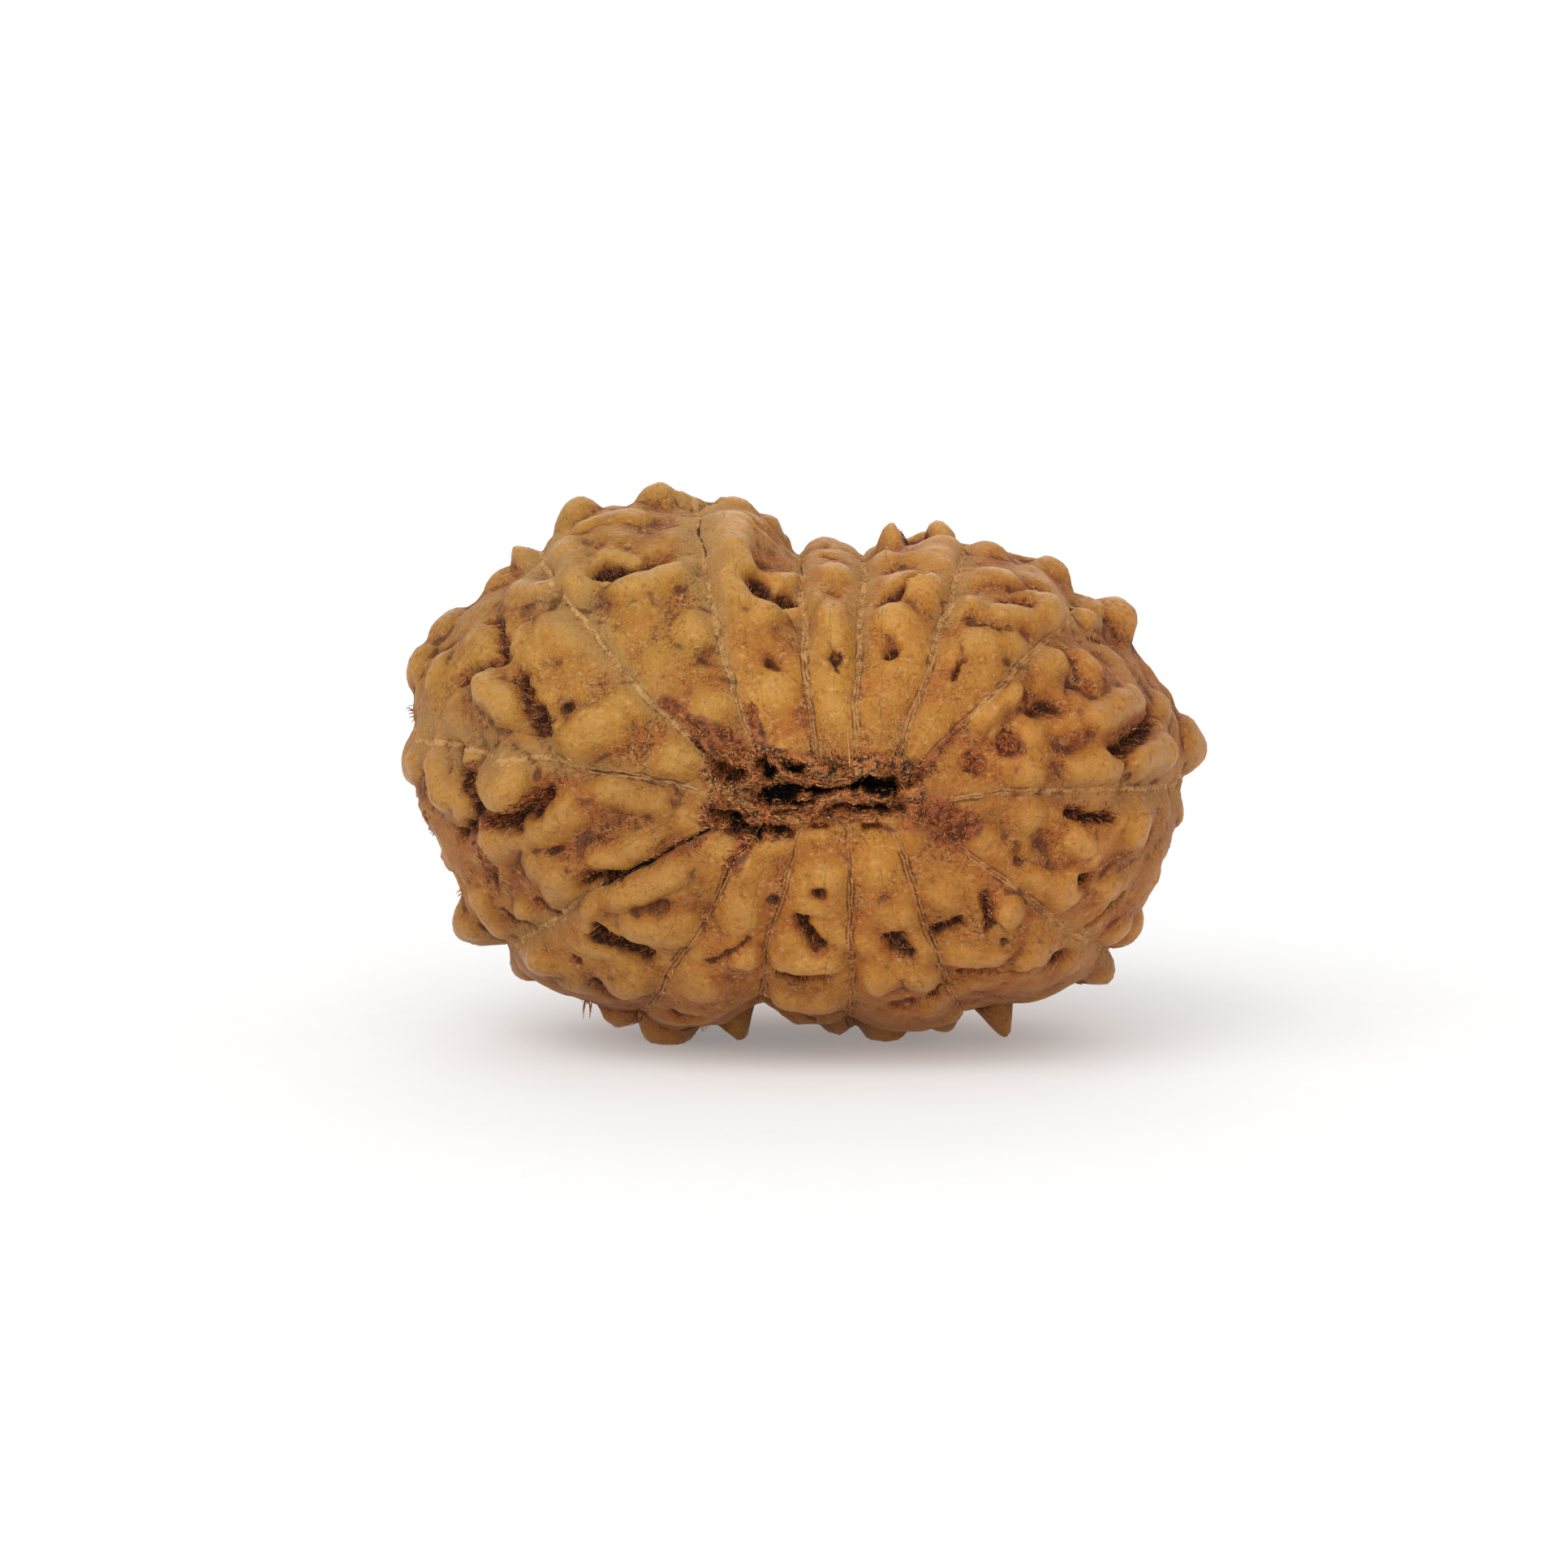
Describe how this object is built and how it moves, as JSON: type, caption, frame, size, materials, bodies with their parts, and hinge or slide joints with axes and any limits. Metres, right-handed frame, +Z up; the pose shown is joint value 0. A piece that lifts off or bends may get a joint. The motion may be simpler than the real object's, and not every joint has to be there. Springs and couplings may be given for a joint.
{
  "type": "rudraksha seed",
  "caption": "Many-faced rudraksha stone: a broad oval woody bead with deep seams from end to end, knobs, pits and a fibrous slit at the stem end.",
  "frame": {"origin": "middle of the bounding box in plan, on the surface that the stone stands on", "axes": "+Z up, -Y towards the stem end with the slit, +X to the right as seen from the stem end"},
  "size_m": [0.033, 0.0224, 0.023],
  "materials": {
    "stone": "natural satin, ochre knobs and dusty tan hollows"
  },
  "bodies": {
    "root": {"rudraksha_stone": "stone"}
  },
  "joints": []
}
